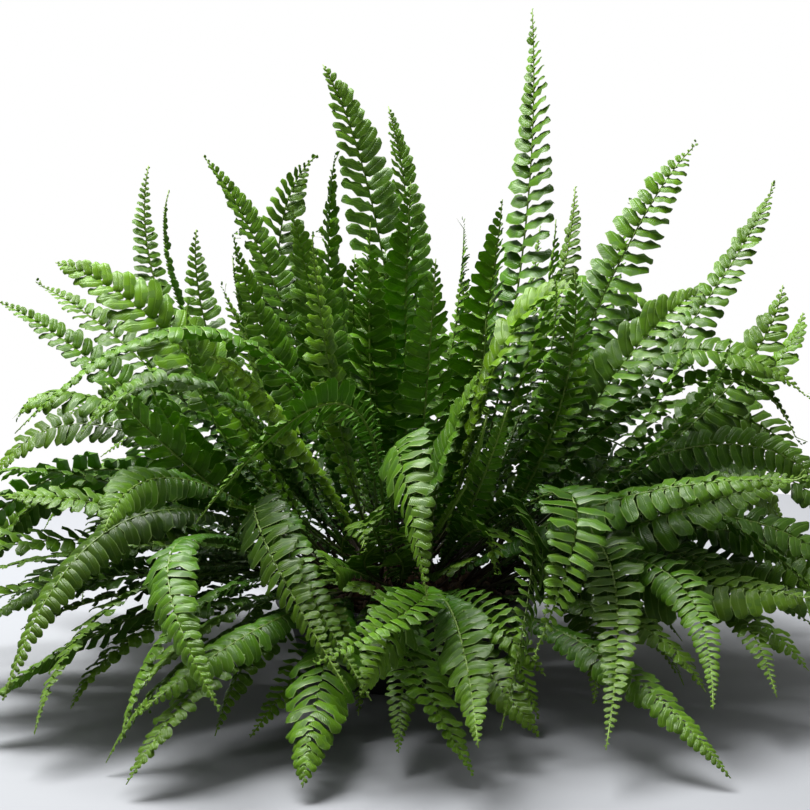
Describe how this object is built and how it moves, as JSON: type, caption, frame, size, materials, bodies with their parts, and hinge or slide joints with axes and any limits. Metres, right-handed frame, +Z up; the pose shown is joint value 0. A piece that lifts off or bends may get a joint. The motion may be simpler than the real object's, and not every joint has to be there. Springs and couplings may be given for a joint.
{
  "type": "potted fern",
  "caption": "Dense mound of arching sword fern fronds, upright above and drooping at the edge, growing from soil in a low plain dark plastic pot.",
  "frame": {"origin": "middle of the pot's underside, on the surface it stands on", "axes": "+Z up; the picture looks along +Y, so -Y is the front and +X its right"},
  "size_m": [0.6818, 0.7009, 0.466],
  "materials": {
    "pot": "satin",
    "soil": "matte",
    "fronds": "satin"
  },
  "bodies": {
    "root": {"pot": "pot", "soil": "soil", "fern_tuft_01": "fronds", "fern_tuft_02": "fronds", "fern_tuft_03": "fronds", "fern_tuft_04": "fronds", "fern_tuft_05": "fronds", "fern_tuft_06": "fronds", "fern_tuft_07": "fronds", "fern_tuft_08": "fronds", "fern_tuft_09": "fronds", "fern_tuft_10": "fronds", "fern_tuft_11": "fronds", "fern_tuft_12": "fronds", "fern_tuft_13": "fronds", "fern_tuft_14": "fronds", "fern_tuft_15": "fronds", "fern_tuft_16": "fronds", "fern_tuft_17": "fronds", "fern_tuft_18": "fronds", "fern_tuft_19": "fronds", "fern_tuft_20": "fronds", "fern_tuft_21": "fronds", "fern_tuft_22": "fronds", "fern_tuft_23": "fronds", "fern_tuft_24": "fronds", "fern_tuft_25": "fronds", "fern_tuft_26": "fronds", "fern_tuft_27": "fronds", "fern_tuft_28": "fronds", "fern_tuft_29": "fronds", "fern_tuft_30": "fronds", "fern_tuft_31": "fronds", "fern_tuft_32": "fronds"}
  },
  "joints": []
}
